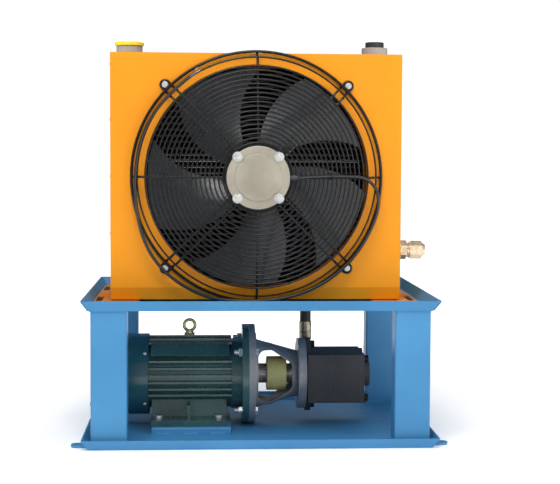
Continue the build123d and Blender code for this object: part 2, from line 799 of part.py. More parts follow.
with BuildPart(drive_place) as motor_fan:
    rod(22, -342, -306)
    rod(84, -322, -319)
    with BuildSketch(drive_place.offset(-346)):
        with PolarLocations(52, 7):
            Rectangle(58, 3)
    extrude(amount=26)
    rod(shaft_radius + 0.02, -350, -300, mode=Mode.SUBTRACT)
finish("motor_fan", motor_fan)

with BuildPart(drive_place) as motor_shaft:
    rod(shaft_radius, -344, -300)
    rod(shaft_seat, -300, -40)
    rod(20, -220, -100)
    rod(shaft_radius, -40, 43)
    chamfer(motor_shaft.edges().group_by(Axis.X)[-1], 1)
finish("motor_shaft", motor_shaft)

stack_rear, stack_front = -215.0, -105.0
with BuildPart(drive_place) as motor_rotor:
    rod(52, stack_rear, stack_front)
    rod(44, stack_rear - 12, stack_front + 12)
    rod(34, stack_rear - 13, stack_rear, mode=Mode.SUBTRACT)
    rod(34, stack_front, stack_front + 13, mode=Mode.SUBTRACT)
    rod(20.02, stack_rear - 1, stack_front + 1, mode=Mode.SUBTRACT)
finish("motor_rotor", motor_rotor)

with BuildPart(drive_place) as motor_stator:
    rod(bore_radius - 0.1, stack_rear, stack_front)
    rod(72, stack_rear - 24, stack_front + 24)
    fillet(motor_stator.edges().group_by(Axis.X)[0], 6)
    fillet(motor_stator.edges().group_by(Axis.X)[-1], 6)
    rod(52.5, stack_rear - 25, stack_front + 25, mode=Mode.SUBTRACT)
finish("motor_stator", motor_stator)

with BuildPart(drive_place) as motor_bearings:
    for start in (frame_rear - 15, frame_front + 1):
        with BuildSketch(drive_place.offset(start)):
            Circle(motor_bearing)
            Circle(shaft_seat + 0.05, mode=Mode.SUBTRACT)
        extrude(amount=16)
finish("motor_bearings", motor_bearings)

box_plane = Plane(origin=(-170, 104, shaft_height), x_dir=(-1, 0, 0), z_dir=(0, 1, 0))
with BuildPart(box_plane) as terminal_box:
    with BuildSketch(box_plane):
        RectangleRounded(96, 84, 8)
    extrude(amount=44)
    with BuildSketch(box_plane.offset(4)):
        RectangleRounded(86, 74, 5)
    extrude(amount=44, mode=Mode.SUBTRACT)
    with Locations((45.5, 0, 24)):
        Cylinder(12.5, 20, rotation=(0, 90, 0), mode=Mode.SUBTRACT)
finish("terminal_box", terminal_box)

with BuildPart(box_plane) as terminal_lid:
    with BuildSketch(box_plane.offset(44)):
        RectangleRounded(100, 88, 9)
    extrude(amount=10)
    fillet(terminal_lid.faces().sort_by(Axis.Y)[-1].edges(), 3)
finish("terminal_lid", terminal_lid)

eye_place = Plane(origin=(-171.6, 0, shaft_height + 105))
with BuildPart(eye_place) as eye_bolt:
    rod(5, -18, 1)
    rod(10, 0, 4)
    rod(7, 4, 9)
    with Locations((0, 0, 20)):
        Torus(14, 4, rotation=(90, 0, 0))
finish("eye_bolt", eye_bolt)

# Eight equal bolts hold the motor's feet to the riser and the cooler's feet to the upper tray.
mounting_bolt = 10.0
motor_bolt_places = [(x, side * foot_bolt_y) for side in (-1, 1) for x in foot_bolt_x]
with BuildPart() as mounting_bolts:
    for places, head, underside in (
        (motor_bolt_places, riser_top + foot_thick, riser_top - sheet),
        (foot_bolt_places, cooler_base + shroud_sheet, upper_base),
    ):
        with Locations(*[(x, y, head) for x, y in places]):
            add(hex_bolt(mounting_bolt, 30))
        with Locations(*[Location((x, y, underside), (180, 0, 0)) for x, y in places]):
            add(hex_nut(mounting_bolt))
finish("mounting_bolts", mounting_bolts)

# ================================================================ bell housing and coupling
cone_start, cone_end = motor_flange_face + bell_rim, 105.0
cone_big, cone_small = 89.0, 58.0
cone_wall = 9.0
window_axis = Plane(origin=(0, 0, shaft_height), x_dir=(1, 0, 0), z_dir=(0, -1, 0))


def frustum(big, small, mode=Mode.ADD):
    """Cone between the bell housing's two flanges."""
    with BuildSketch(drive_place.offset(cone_start)) as wide_end:
        Circle(big)
    with BuildSketch(drive_place.offset(cone_end)) as narrow_end:
        Circle(small)
    loft([wide_end.sketch.face(), narrow_end.sketch.face()], mode=mode)


def window(grow):
    """Rounded D-shaped opening through the front and rear walls, grown by a margin."""
    with BuildSketch(window_axis.offset(-150)) as opening:
        with BuildLine():
            Polyline(
                (2 - grow, -66 - grow),
                (2 - grow, 66 + grow),
                (38, 66 + grow),
                (90 + grow, 32),
                (90 + grow, -32),
                (38, -66 - grow),
                close=True,
            )
        make_face()
        fillet(opening.vertices(), 18 + grow / 2)
    return extrude(opening.sketch, amount=300, mode=Mode.PRIVATE)


with BuildPart() as window_rim:
    frustum(cone_big + 4, cone_small + 4)
    add(window(9), mode=Mode.INTERSECT)

pump_ears = [(0, 75), (0, -80)]
with BuildPart() as bell_housing:
    frustum(cone_big, cone_small)
    add(window_rim.part)
    disc(drive_place, motor_flange_radius, motor_flange_face, cone_start)
    disc(drive_place, 90, cone_end, bell_end)
    fillet(bell_housing.edges().group_by(Axis.X)[-1], 1.5)
    frustum(cone_big - cone_wall, cone_small - cone_wall, mode=Mode.SUBTRACT)
    disc(drive_place, 90, motor_flange_face - 1, motor_flange_face + 5, mode=Mode.SUBTRACT)
    disc(drive_place, cone_big - cone_wall, motor_flange_face, cone_start, mode=Mode.SUBTRACT)
    disc(drive_place, 46, cone_end - 1, bell_end + 1, mode=Mode.SUBTRACT)
    disc(drive_place, 50, bell_end - 5.5, bell_end + 1, mode=Mode.SUBTRACT)
    add(window(0), mode=Mode.SUBTRACT)
    with BuildSketch(drive_place.offset(motor_flange_face)):
        with Locations(*flange_holes):
            Circle(6.5)
    extrude(amount=bell_rim, mode=Mode.SUBTRACT)
    with BuildSketch(drive_place.offset(cone_end)):
        with Locations(*pump_ears):
            Circle(6.05)
    extrude(amount=bell_end - cone_end, mode=Mode.SUBTRACT)
finish("bell_housing", bell_housing)

sleeve_start, sleeve_end, sleeve_radius = 26.0, 76.0, 43.5
tooth_tip = 34.0


def toothed_hub(start, end, teeth_start, teeth_end, bore):
    """Steel coupling hub with a ring of coarse teeth that sit inside the sleeve."""
    with BuildPart(drive_place) as hub:
        rod(25, start, end)
        with BuildSketch(drive_place.offset(teeth_start)):
            Circle(tooth_tip - 4)
            with PolarLocations(tooth_tip - 4, 24):
                Rectangle(8, 4.4)
            Circle(tooth_tip + 3, mode=Mode.INTERSECT)
        extrude(amount=teeth_end - teeth_start)
        rod(bore, start - 1, end + 1, mode=Mode.SUBTRACT)
    return hub


coupling_hub_motor = toothed_hub(-6, 49, 31, 49, shaft_radius + 0.02)
finish("coupling_hub_motor", coupling_hub_motor)
coupling_hub_pump = toothed_hub(53, 100, 53, 71, 11.02)
finish("coupling_hub_pump", coupling_hub_pump)

with BuildPart(drive_place) as coupling_sleeve:
    rod(sleeve_radius, sleeve_start, sleeve_end)
    fillet(coupling_sleeve.edges(), 1.5)
    rod(tooth_tip + 0.4, sleeve_start + 4, sleeve_end - 4, mode=Mode.SUBTRACT)
    rod(25.3, sleeve_start - 1, sleeve_end + 1, mode=Mode.SUBTRACT)
finish("coupling_sleeve", coupling_sleeve)

# ================================================================ gear pump
pump_low, pump_high = -62 - pump_drop, 62 - pump_drop
pump_near, pump_far = -60.0, 95.0
bolt_corners = [(y, z) for y in (pump_near + 12, pump_far - 12) for z in (pump_low + 12, pump_high - 12)]
bush_radius = 27.0
ear_thick = 14.0


def pump_section(start, end):
    """One slice of the pump's rectangular body."""
    with BuildSketch(drive_place.offset(start)) as outline:
        with Locations(((pump_near + pump_far) / 2, (pump_low + pump_high) / 2)):
            RectangleRounded(pump_far - pump_near, pump_high - pump_low, 2)
    extrude(outline.sketch, amount=end - start)


with BuildPart(drive_place) as pump_front_cover:
    pump_section(bell_end + 4, pump_joint_front)
    with BuildSketch(drive_place.offset(bell_end)):
        Circle(56)
        with Locations(*pump_ears):
            Circle(17.5)
        make_hull()
    extrude(amount=ear_thick)
    rod(49.9, bell_end - 5, bell_end)
    rod(11.6, bell_end - 6, pump_joint_front + 1, mode=Mode.SUBTRACT)
    rod(17.5, bell_end - 6, bell_end + 6, mode=Mode.SUBTRACT)
    with Locations(*[(y, z, bell_end) for y, z in pump_ears]):
        Cylinder(6.5, 60, mode=Mode.SUBTRACT)
    with Locations(*[(y, z, pump_joint_front) for y, z in bolt_corners]):
        Cylinder(6.05, 54, mode=Mode.SUBTRACT)
    outlet_plane = Plane(origin=(outlet_x, pump_far, shaft_height), z_dir=(0, 1, 0))
    with BuildSketch(outlet_plane):
        Circle(13)
    extrude(amount=-16, mode=Mode.SUBTRACT)
finish("pump_front_cover", pump_front_cover)

with BuildPart(drive_place) as pump_body:
    pump_section(pump_joint_front, pump_joint_rear)
    with BuildSketch(drive_place.offset(pump_joint_front)):
        with Locations((0, 0), (gear_spacing, 0)):
            Circle(bush_radius + 0.1)
    extrude(amount=pump_joint_rear - pump_joint_front, mode=Mode.SUBTRACT)
    with Locations(*[(y, z, pump_joint_front) for y, z in bolt_corners]):
        Cylinder(6.5, 200, mode=Mode.SUBTRACT)
finish("pump_body", pump_body)

end_cover_face = pump_joint_rear + 9.5
inlet_boss = 17.5
inlet_radius = 21.0
with BuildPart(drive_place) as pump_end_cover:
    pump_section(pump_joint_rear, end_cover_face)
    with BuildSketch(drive_place.offset(end_cover_face)):
        with Locations((0, 0), (gear_spacing, 0)):
            Circle(34)
        make_hull()
    extrude(amount=inlet_boss)
    with BuildSketch(drive_place.offset(end_cover_face + inlet_boss)):
        with Locations((gear_spacing / 2, 0)):
            Circle(inlet_radius)
    extrude(amount=-16, mode=Mode.SUBTRACT)
    with Locations(*[(y, z, end_cover_face) for y, z in bolt_corners]):
        Cylinder(6.5, 40, mode=Mode.SUBTRACT)
finish("pump_end_cover", pump_end_cover)

# Four long screws clamp the pump together and two short ones hold it to the bell housing.
with BuildPart(drive_place) as pump_bolts:
    with Locations(*[(y, z, end_cover_face) for y, z in bolt_corners]):
        add(cap_screw(12, 112))
    with Locations(*[(y, z, bell_end + ear_thick) for y, z in pump_ears]):
        add(cap_screw(12, 30))
finish("pump_bolts", pump_bolts)

# Four bolts with nuts join the bell housing to the motor flange.
with BuildPart(drive_place) as flange_bolts:
    with Locations(*[(y, z, cone_start) for y, z in flange_holes]):
        add(hex_bolt(12, 54))
    with Locations(*[Location((y, z, motor_flange_back), (180, 0, 0)) for y, z in flange_holes]):
        add(hex_nut(12))
finish("flange_bolts", flange_bolts)

gear_start, gear_end = 197.0, 250.0
journal = 11.0
with BuildPart(drive_place) as pump_bushes:
    for start, end in ((pump_joint_front, gear_start - 0.2), (gear_end + 0.2, pump_joint_rear)):
        with BuildSketch(drive_place.offset(start)):
            with Locations((0, 0), (gear_spacing, 0)):
                Circle(bush_radius)
            with Locations((0, 0), (gear_spacing, 0)):
                Circle(journal + 0.05, mode=Mode.SUBTRACT)
        extrude(amount=end - start)
finish("pump_bushes", pump_bushes)


def pump_gear(shaft_start, shaft_end, y_place, first_tooth):
    """Spur gear with an integral shaft."""
    place = Plane(origin=(0, y_place, shaft_height), x_dir=(0, 1, 0), z_dir=(1, 0, 0))
    with BuildPart(place) as gear:
        rod(journal, shaft_start, shaft_end)
        with BuildSketch(place.offset(gear_start)):
            Circle(18.2)
            with PolarLocations(17, gear_teeth, start_angle=first_tooth):
                with Locations((4.2, 0)):
                    Trapezoid(6.4, 8.6, 78, rotation=-90)
        extrude(amount=gear_end - gear_start)
    return gear


pump_drive_gear = pump_gear(55, pump_joint_rear - 1, 0, 0)
finish("pump_drive_gear", pump_drive_gear)
pump_driven_gear = pump_gear(pump_joint_front + 1, pump_joint_rear - 1, gear_spacing, 180 + 180 / gear_teeth)
finish("pump_driven_gear", pump_driven_gear)

# ================================================================ pressure hose
with BuildPart(outlet_plane) as pump_adapter:
    rod(12.95, -14, 0)
    hex_prism(outlet_plane, 36, 0, 18)
    rod(12, 18, 30)
    rod(7.5, -15, 31, mode=Mode.SUBTRACT)
finish("pump_adapter", pump_adapter)

hose_bend = 46.0
hose_start = 240.0
ferrule_length = 48.0
ferrule_radius = 17.0
pipe_radius = 10.5


def swept_end(plane, corner, ferrule_start, hose_point):
    """Swivel nut, bent steel pipe and crimped ferrule that join a hose to a port.

    The plane's normal leaves the port, the corner is where the pipe's two straight lines meet.
    """
    nut_face = plane.origin + plane.z_dir * 30
    up = (Vector(*hose_point) - Vector(*ferrule_start)).normalized()
    with BuildPart() as end:
        hex_prism(plane, 41, 30, 52)
        with BuildLine() as pipe_path:
            FilletPolyline(nut_face, corner, ferrule_start, radius=hose_bend)
        with BuildSketch(Plane(origin=nut_face, z_dir=plane.z_dir)):
            Circle(pipe_radius)
        sweep()
        ferrule = Plane(origin=ferrule_start, z_dir=up)
        with BuildSketch(ferrule):
            Circle(ferrule_radius)
        extrude(amount=ferrule_length)
    return end


hose_end_lower = swept_end(
    outlet_plane,
    (outlet_x, hose_y, shaft_height),
    (outlet_x, hose_y, hose_start - ferrule_length),
    (outlet_x, hose_y, hose_start),
)
finish("hose_end_lower", hose_end_lower)

hose_route = [
    (outlet_x, hose_y, hose_start),
    (outlet_x, hose_y, 332),
    (161, 205, 424),
    (218, 211, 500),
    (280, 217, 570),
    (port_x_right, 224, 651),
    (port_x_right, 224, 738),
]
oil_hose = cord_tube(hose_route, hose_radius)
finish("oil_hose", oil_hose)

rear_port = Plane(origin=(port_x_right, core_back + boss_height, rear_port_height), z_dir=(0, 1, 0))
with BuildPart(rear_port) as inlet_elbow:
    rod(port_radius - 0.05, -24, 4)
    hex_prism(rear_port, 44, 4, 40)
    elbow_leg = Plane(origin=rear_port.origin + Vector(0, 26, 0), z_dir=(0, 0, -1))
    with BuildSketch(elbow_leg):
        Circle(17)
    extrude(amount=42)
finish("inlet_elbow", inlet_elbow)

hose_top = Vector(*hose_route[-1])
with BuildPart() as hose_end_upper:
    upper_end = Plane(origin=hose_top, z_dir=(0, 0, 1))
    with BuildSketch(upper_end):
        Circle(ferrule_radius)
    extrude(amount=ferrule_length - 4)
    hex_prism(upper_end, 41, ferrule_length - 4, rear_port_height - 42 - hose_top.Z)
finish("hose_end_upper", hose_end_upper)

print(len(pieces), "nodes")
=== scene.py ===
"""Looks of the free-standing hydraulic oil cooler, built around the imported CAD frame.

World frame, metres: X to the right, Y to the rear, Z up, origin at the centre of the stand's underside.
"""
from math import cos, radians, sin, tau

import bpy
from mathutils import Matrix, Vector


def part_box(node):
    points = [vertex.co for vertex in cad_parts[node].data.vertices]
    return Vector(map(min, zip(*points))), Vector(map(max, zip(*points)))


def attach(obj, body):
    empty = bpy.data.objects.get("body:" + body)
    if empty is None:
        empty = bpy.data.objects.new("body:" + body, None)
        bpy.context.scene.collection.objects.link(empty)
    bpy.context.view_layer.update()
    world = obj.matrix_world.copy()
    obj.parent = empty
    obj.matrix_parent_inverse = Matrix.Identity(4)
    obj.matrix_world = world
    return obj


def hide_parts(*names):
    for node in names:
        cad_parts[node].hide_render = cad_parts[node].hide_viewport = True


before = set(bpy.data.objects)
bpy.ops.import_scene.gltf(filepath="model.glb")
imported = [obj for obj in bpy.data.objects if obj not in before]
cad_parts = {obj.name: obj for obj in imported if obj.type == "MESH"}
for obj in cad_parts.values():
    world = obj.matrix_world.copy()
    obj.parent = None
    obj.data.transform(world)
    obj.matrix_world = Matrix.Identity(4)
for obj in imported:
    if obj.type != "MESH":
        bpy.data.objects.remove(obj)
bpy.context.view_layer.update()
scene = bpy.context.scene
scene.view_settings.view_transform = "Standard"

# ---------------------------------------------------------------- camera
camera_place = Vector((-0.14269, -3.38828, 0.67759))
camera_yaw, camera_pitch, camera_roll = radians(3.42), radians(3.521), radians(0.286)
camera_lens = 85.14

forward = Vector((
    sin(camera_yaw) * cos(camera_pitch), cos(camera_yaw) * cos(camera_pitch), -sin(camera_pitch),
))
level_right = Vector((cos(camera_yaw), -sin(camera_yaw), 0))
level_up = level_right.cross(forward)
rolled_right = level_right * cos(camera_roll) + level_up * sin(camera_roll)
rolled_up = level_up * cos(camera_roll) - level_right * sin(camera_roll)
camera_data = bpy.data.cameras.new("camera")
camera_data.sensor_width = 36
camera_data.lens = camera_lens
camera = bpy.data.objects.new("camera", camera_data)
turn = Matrix((rolled_right, rolled_up, -forward)).transposed()
camera.matrix_world = Matrix.Translation(camera_place) @ turn.to_4x4()
scene.collection.objects.link(camera)
scene.camera = camera

# ---------------------------------------------------------------- room and light
# The camera sees a white backdrop. Reflections and light see a cooler room that is dim towards the rear.
world = bpy.data.worlds.new("studio")
world.use_nodes = True
sky = world.node_tree
room = sky.nodes["Background"]
room.inputs["Color"].default_value = (0.95, 0.975, 1.0, 1)
towards = sky.nodes.new("ShaderNodeSeparateXYZ")
sky.links.new(sky.nodes.new("ShaderNodeTexCoord").outputs["Generated"], towards.inputs["Vector"])
dimmer = sky.nodes.new("ShaderNodeMapRange")
for socket, number in (("From Min", 0.1), ("From Max", 0.7), ("To Min", 0.58), ("To Max", 0.06)):
    dimmer.inputs[socket].default_value = number
sky.links.new(towards.outputs["Y"], dimmer.inputs["Value"])
sky.links.new(dimmer.outputs["Result"], room.inputs["Strength"])
backdrop = sky.nodes.new("ShaderNodeBackground")
backdrop.inputs["Color"].default_value = (1.0, 1.0, 1.0, 1)
backdrop.inputs["Strength"].default_value = 1.05
seen = sky.nodes.new("ShaderNodeLightPath")
either = sky.nodes.new("ShaderNodeMixShader")
sky.links.new(seen.outputs["Is Camera Ray"], either.inputs[0])
sky.links.new(room.outputs["Background"], either.inputs[1])
sky.links.new(backdrop.outputs["Background"], either.inputs[2])
sky.links.new(either.outputs["Shader"], sky.nodes["World Output"].inputs["Surface"])
scene.world = world


def soft_light(name, place, target, size, power, colour=(1, 1, 1)):
    """Rectangular soft box that faces a target."""
    data = bpy.data.lights.new(name, "AREA")
    data.shape = "RECTANGLE"
    data.size, data.size_y = size
    data.energy = power
    data.color = colour
    lamp = bpy.data.objects.new(name, data)
    lamp.location = place
    lamp.rotation_mode = "QUATERNION"
    lamp.rotation_quaternion = (Vector(target) - Vector(place)).to_track_quat("-Z", "Y")
    scene.collection.objects.link(lamp)


soft_light("key_light", (-0.5, -2.2, 3.2), (0, 0, 0.55), (2.0, 1.4), 80)
soft_light("fill_light", (2.4, -2.6, 1.0), (0, 0, 0.4), (1.4, 1.8), 26)
soft_light("rear_light", (0.6, 2.6, 2.4), (0, 0, 0.6), (2.0, 1.2), 20)


# ---------------------------------------------------------------- material recipes
def linear(red, green, blue):
    """Linear colour of an sRGB triple from 0 to 255."""
    shares = [channel / 255 for channel in (red, green, blue)]
    return tuple(s / 12.92 if s <= 0.04045 else ((s + 0.055) / 1.055) ** 2.4 for s in shares) + (1.0,)


class Recipe:
    """One material's node tree, with short calls for what the recipes share."""

    def __init__(self, name, metallic=0.0, specular=0.5, coat=0.0, coat_roughness=0.1):
        self.material = bpy.data.materials.new(name)
        self.material.use_nodes = True
        self.tree = self.material.node_tree
        self.shader = self.tree.nodes["Principled BSDF"]
        self.shader.inputs["Metallic"].default_value = metallic
        self.shader.inputs["Specular IOR Level"].default_value = specular
        self.shader.inputs["Coat Weight"].default_value = coat
        self.shader.inputs["Coat Roughness"].default_value = coat_roughness
        self.place = self.add("ShaderNodeTexCoord").outputs["Object"]

    def add(self, kind, **settings):
        """New node with its plain settings."""
        node = self.tree.nodes.new(kind)
        for key, value in settings.items():
            setattr(node, key, value)
        return node

    def put(self, socket, value):
        """Link an output to a socket, or set its number or colour."""
        if isinstance(value, bpy.types.NodeSocket):
            self.tree.links.new(value, socket)
        else:
            socket.default_value = value

    def stretched(self, stretch):
        """Object coordinates scaled along each axis."""
        mapping = self.add("ShaderNodeMapping")
        self.put(mapping.inputs["Vector"], self.place)
        mapping.inputs["Scale"].default_value = stretch
        return mapping.outputs["Vector"]

    def noise(self, scale, detail=3.0, stretch=(1, 1, 1)):
        """Cloudy noise, features about 1 / scale metres across."""
        node = self.add("ShaderNodeTexNoise")
        self.put(node.inputs["Vector"], self.stretched(stretch))
        node.inputs["Scale"].default_value = scale
        node.inputs["Detail"].default_value = detail
        node.inputs["Roughness"].default_value = 0.55
        return node.outputs["Fac"]

    def waves(self, scale, axis, distortion=0.0):
        """Fine parallel bands along an axis."""
        node = self.add("ShaderNodeTexWave", bands_direction=axis)
        self.put(node.inputs["Vector"], self.place)
        node.inputs["Scale"].default_value = scale
        node.inputs["Distortion"].default_value = distortion
        return node.outputs["Fac"]

    def band(self, value, low, high, to_low=0.0, to_high=1.0):
        """Value remapped from one range to another, held at its ends."""
        node = self.add("ShaderNodeMapRange")
        self.put(node.inputs["Value"], value)
        node.inputs["From Min"].default_value = low
        node.inputs["From Max"].default_value = high
        node.inputs["To Min"].default_value = to_low
        node.inputs["To Max"].default_value = to_high
        return node.outputs["Result"]

    def maths(self, operation, first, second):
        """Two values combined."""
        node = self.add("ShaderNodeMath", operation=operation)
        self.put(node.inputs[0], first)
        self.put(node.inputs[1], second)
        return node.outputs["Value"]

    def mix(self, share, first, second):
        """Two colours mixed by a share."""
        node = self.add("ShaderNodeMix", data_type="RGBA")
        self.put(node.inputs["Factor"], share)
        self.put(node.inputs[6], first)
        self.put(node.inputs[7], second)
        return node.outputs[2]

    def rounded(self, radius):
        """Normal that rounds sharp edges by a radius."""
        node = self.add("ShaderNodeBevel", samples=4)
        node.inputs["Radius"].default_value = radius
        return node.outputs["Normal"]

    def above(self, height, fade=0.0006):
        """Mask that is 1 above a height and 0 below it."""
        split = self.add("ShaderNodeSeparateXYZ")
        self.put(split.inputs["Vector"], self.place)
        return self.band(split.outputs["Z"], height, height + fade)

    def edges(self, radius, low=0.03, high=0.2):
        """Mask that is 1 on sharp edges and 0 on flats."""
        product = self.add("ShaderNodeVectorMath", operation="DOT_PRODUCT")
        self.put(product.inputs[0], self.rounded(radius))
        self.put(product.inputs[1], self.add("ShaderNodeNewGeometry").outputs["Normal"])
        return self.band(self.maths("SUBTRACT", 1.0, product.outputs["Value"]), low, high)

    def relief(self, height, depth, normal=None):
        """Bump of a given depth in metres, on top of another normal."""
        node = self.add("ShaderNodeBump")
        self.put(node.inputs["Height"], height)
        node.inputs["Distance"].default_value = depth
        if normal is not None:
            self.put(node.inputs["Normal"], normal)
        return node.outputs["Normal"]

    def finish(self, colour, roughness, normal):
        """Wire colour, roughness and normal into the shader."""
        self.put(self.shader.inputs["Base Color"], colour)
        self.put(self.shader.inputs["Roughness"], roughness)
        self.put(self.shader.inputs["Normal"], normal)
        return self.material


def paint(
    name, colour, shade, worn, gloss=(0.38, 0.5), peel=0.00012, wear=0.35, edge=0.0016, coat=0.08, bare=None,
):
    """Sprayed paint on sheet steel: faint orange peel, dust, thin scratches and rubbed edges.

    Above the height bare, where it is given, the metal has no paint.
    """
    r = Recipe(name, specular=0.3, coat=coat, coat_roughness=0.22)
    tone = r.mix(r.band(r.noise(3.5, 4), 0.35, 0.7), colour, shade)
    tone = r.mix(r.band(r.noise(60, 5), 0.58, 0.8, 0, 0.25), tone, shade)
    scratch = r.band(r.noise(55, 2, (1, 1, 14)), 0.735, 0.77)
    rubbed = r.maths("MULTIPLY", r.edges(edge), r.band(r.noise(45, 5), 0.66 - wear * 0.4, 0.72))
    marks = r.maths("MAXIMUM", r.maths("MULTIPLY", scratch, 0.5 * wear), rubbed)
    tone = r.mix(marks, tone, worn)
    if bare:
        metal = r.mix(r.noise(300, 3), linear(176, 170, 162), linear(150, 146, 140))
        tone = r.mix(r.above(bare), tone, metal)
    rough = r.band(r.noise(24, 4), 0.3, 0.75, *gloss)
    normal = r.relief(r.noise(420, 2), peel, r.rounded(edge))
    return r.finish(tone, rough, r.relief(marks, -0.00008, normal))


def cast_paint(name, colour, shade, light, gloss=(0.26, 0.42), grit=0.0005, coat=0.25):
    """Gloss paint over a sand casting: pitted skin, darker hollows, lighter rubbed edges."""
    r = Recipe(name, specular=0.35, coat=coat, coat_roughness=0.18)
    pits = r.noise(260, 5)
    tone = r.mix(r.band(r.noise(9, 5), 0.35, 0.7), colour, shade)
    tone = r.mix(r.band(pits, 0.6, 0.75, 0, 0.5), tone, shade)
    rubbed = r.maths("MULTIPLY", r.edges(0.0018, 0.02, 0.25), r.band(r.noise(70, 4), 0.42, 0.7, 0.1, 0.8))
    tone = r.mix(rubbed, tone, light)
    normal = r.relief(r.noise(90, 4), grit, r.rounded(0.0015))
    return r.finish(tone, r.band(pits, 0.35, 0.7, *gloss), r.relief(pits, grit * 0.4, normal))


def cast_metal(name, colour, shade, bright, metallic=0.85, rough=(0.42, 0.62), grit=0.0002, scale=500):
    """Bare casting: fine blasted grain, blotches of oxide and brighter edges."""
    r = Recipe(name, metallic=metallic)
    tone = r.mix(r.band(r.noise(14, 5), 0.35, 0.7), colour, shade)
    tone = r.mix(r.band(r.noise(scale, 3), 0.55, 0.75, 0, 0.35), tone, shade)
    tone = r.mix(r.maths("MULTIPLY", r.edges(0.0014), 0.7), tone, bright)
    normal = r.relief(r.noise(scale, 3), grit, r.rounded(0.0012))
    return r.finish(tone, r.band(r.noise(40, 4), 0.3, 0.7, *rough), normal)


def turned(name, colour, shade, rough=(0.2, 0.38), metallic=1.0):
    """Machined steel with fine tool marks across X, the drive line's axis."""
    r = Recipe(name, metallic=metallic)
    marks = r.waves(900, "X", 1.5)
    tone = r.mix(r.band(r.noise(30, 5), 0.35, 0.75), colour, shade)
    tone = r.mix(r.maths("MULTIPLY", marks, 0.25), tone, shade)
    normal = r.relief(marks, 0.00003, r.rounded(0.0006))
    return r.finish(tone, r.band(r.noise(80, 3), 0.3, 0.7, *rough), normal)


def plated(name, colour, tint, bright, metallic=1.0):
    """Electroplated steel: cloudy passivation tints and bright edges."""
    r = Recipe(name, metallic=metallic)
    tone = r.mix(r.band(r.noise(70, 4), 0.38, 0.66), colour, tint)
    tone = r.mix(r.maths("MULTIPLY", r.edges(0.0008), 0.8), tone, bright)
    normal = r.relief(r.noise(700, 3), 0.00005, r.rounded(0.0006))
    return r.finish(tone, r.band(r.noise(110, 4), 0.3, 0.7, 0.2, 0.36), normal)


def moulded(name, colour, shade, rough=(0.36, 0.5), grain=0.00006, subsurface=0.0, specular=0.5):
    """Moulded plastic or rubber: fine spark-eroded grain, faint flow marks, rounded edges."""
    r = Recipe(name, specular=specular)
    r.shader.inputs["Subsurface Weight"].default_value = subsurface
    r.shader.inputs["Subsurface Radius"].default_value = (0.006, 0.005, 0.003)
    tone = r.mix(r.band(r.noise(18, 4), 0.35, 0.7), colour, shade)
    tone = r.mix(r.band(r.noise(300, 3), 0.6, 0.75, 0, 0.3), tone, shade)
    normal = r.relief(r.noise(900, 2), grain, r.rounded(0.001))
    return r.finish(tone, r.band(r.noise(50, 4), 0.3, 0.7, *rough), normal)


# ---------------------------------------------------------------- materials
# The tanks' port collars are bare metal above this height.
bare_collars_start = 0.9362

blue = paint("stand_blue", linear(71, 140, 187), linear(60, 127, 174), linear(150, 168, 182))
orange = paint(
    "box_orange", linear(228, 143, 5), linear(222, 136, 5), linear(246, 180, 76),
    gloss=(0.42, 0.55), peel=0.00008, wear=0.12, edge=0.0022, coat=0.03,
)
tank_orange = paint(
    "tank_orange", linear(228, 143, 5), linear(218, 133, 5), linear(246, 180, 76),
    gloss=(0.42, 0.55), peel=0.0001, wear=0.2, edge=0.0022, coat=0.03, bare=bare_collars_start,
)
foot_orange = paint("foot_orange", linear(226, 140, 40), linear(200, 120, 34), linear(90, 70, 50), wear=0.6)
guard_black = moulded(
    "guard_black", linear(12, 13, 14), linear(8, 9, 10), rough=(0.24, 0.34), grain=0.00003, specular=0.4,
)
blade_grey = moulded(
    "blade_grey", linear(26, 29, 34), linear(18, 20, 25), rough=(0.18, 0.3), grain=0.00006, specular=0.7,
)
motor_green = cast_paint(
    "motor_green", linear(54, 92, 90), linear(34, 64, 64), linear(134, 160, 152), gloss=(0.2, 0.34), coat=0.5,
)
cowl_green = paint(
    "cowl_green", linear(32, 74, 84), linear(25, 62, 72), linear(90, 120, 124),
    gloss=(0.16, 0.26), peel=0.0001, wear=0.2, edge=0.0014, coat=0.7,
)
disc_alloy = cast_metal(
    "disc_alloy", linear(170, 163, 147), linear(146, 139, 124), linear(236, 232, 220),
    metallic=0.5, rough=(0.32, 0.46), grit=0.0002, scale=900,
)
bell_alloy = cast_metal(
    "bell_alloy", linear(148, 150, 152), linear(112, 114, 118), linear(236, 238, 238),
    metallic=0.3, rough=(0.36, 0.5), grit=0.0003, scale=380,
)
core_alloy = cast_metal(
    "core_alloy", linear(112, 114, 116), linear(86, 88, 90), linear(150, 152, 154), metallic=0.8,
)
fin_alloy = cast_metal(
    "fin_alloy", linear(118, 120, 122), linear(88, 90, 92), linear(160, 162, 164), metallic=0.45,
)
pump_grey = cast_paint(
    "pump_grey", linear(70, 69, 70), linear(54, 53, 54), linear(116, 116, 118),
    gloss=(0.55, 0.7), grit=0.00035, coat=0.0,
)
bright_zinc = plated(
    "bright_zinc", linear(214, 214, 210), linear(184, 186, 188), linear(246, 246, 244), metallic=0.55,
)
yellow_zinc = plated(
    "yellow_zinc", linear(240, 224, 190), linear(226, 190, 158), linear(252, 246, 228), metallic=0.85,
)
eye_zinc = plated(
    "eye_zinc", linear(170, 162, 112), linear(132, 124, 84), linear(226, 220, 176), metallic=0.8,
)
ferrule_zinc = plated(
    "ferrule_zinc", linear(168, 158, 138), linear(128, 116, 100), linear(216, 208, 190), metallic=0.8,
)
ground_steel = turned("ground_steel", linear(176, 174, 172), linear(132, 130, 126))
hub_steel = turned(
    "hub_steel", linear(196, 186, 174), linear(112, 98, 90), rough=(0.2, 0.36), metallic=0.4,
)
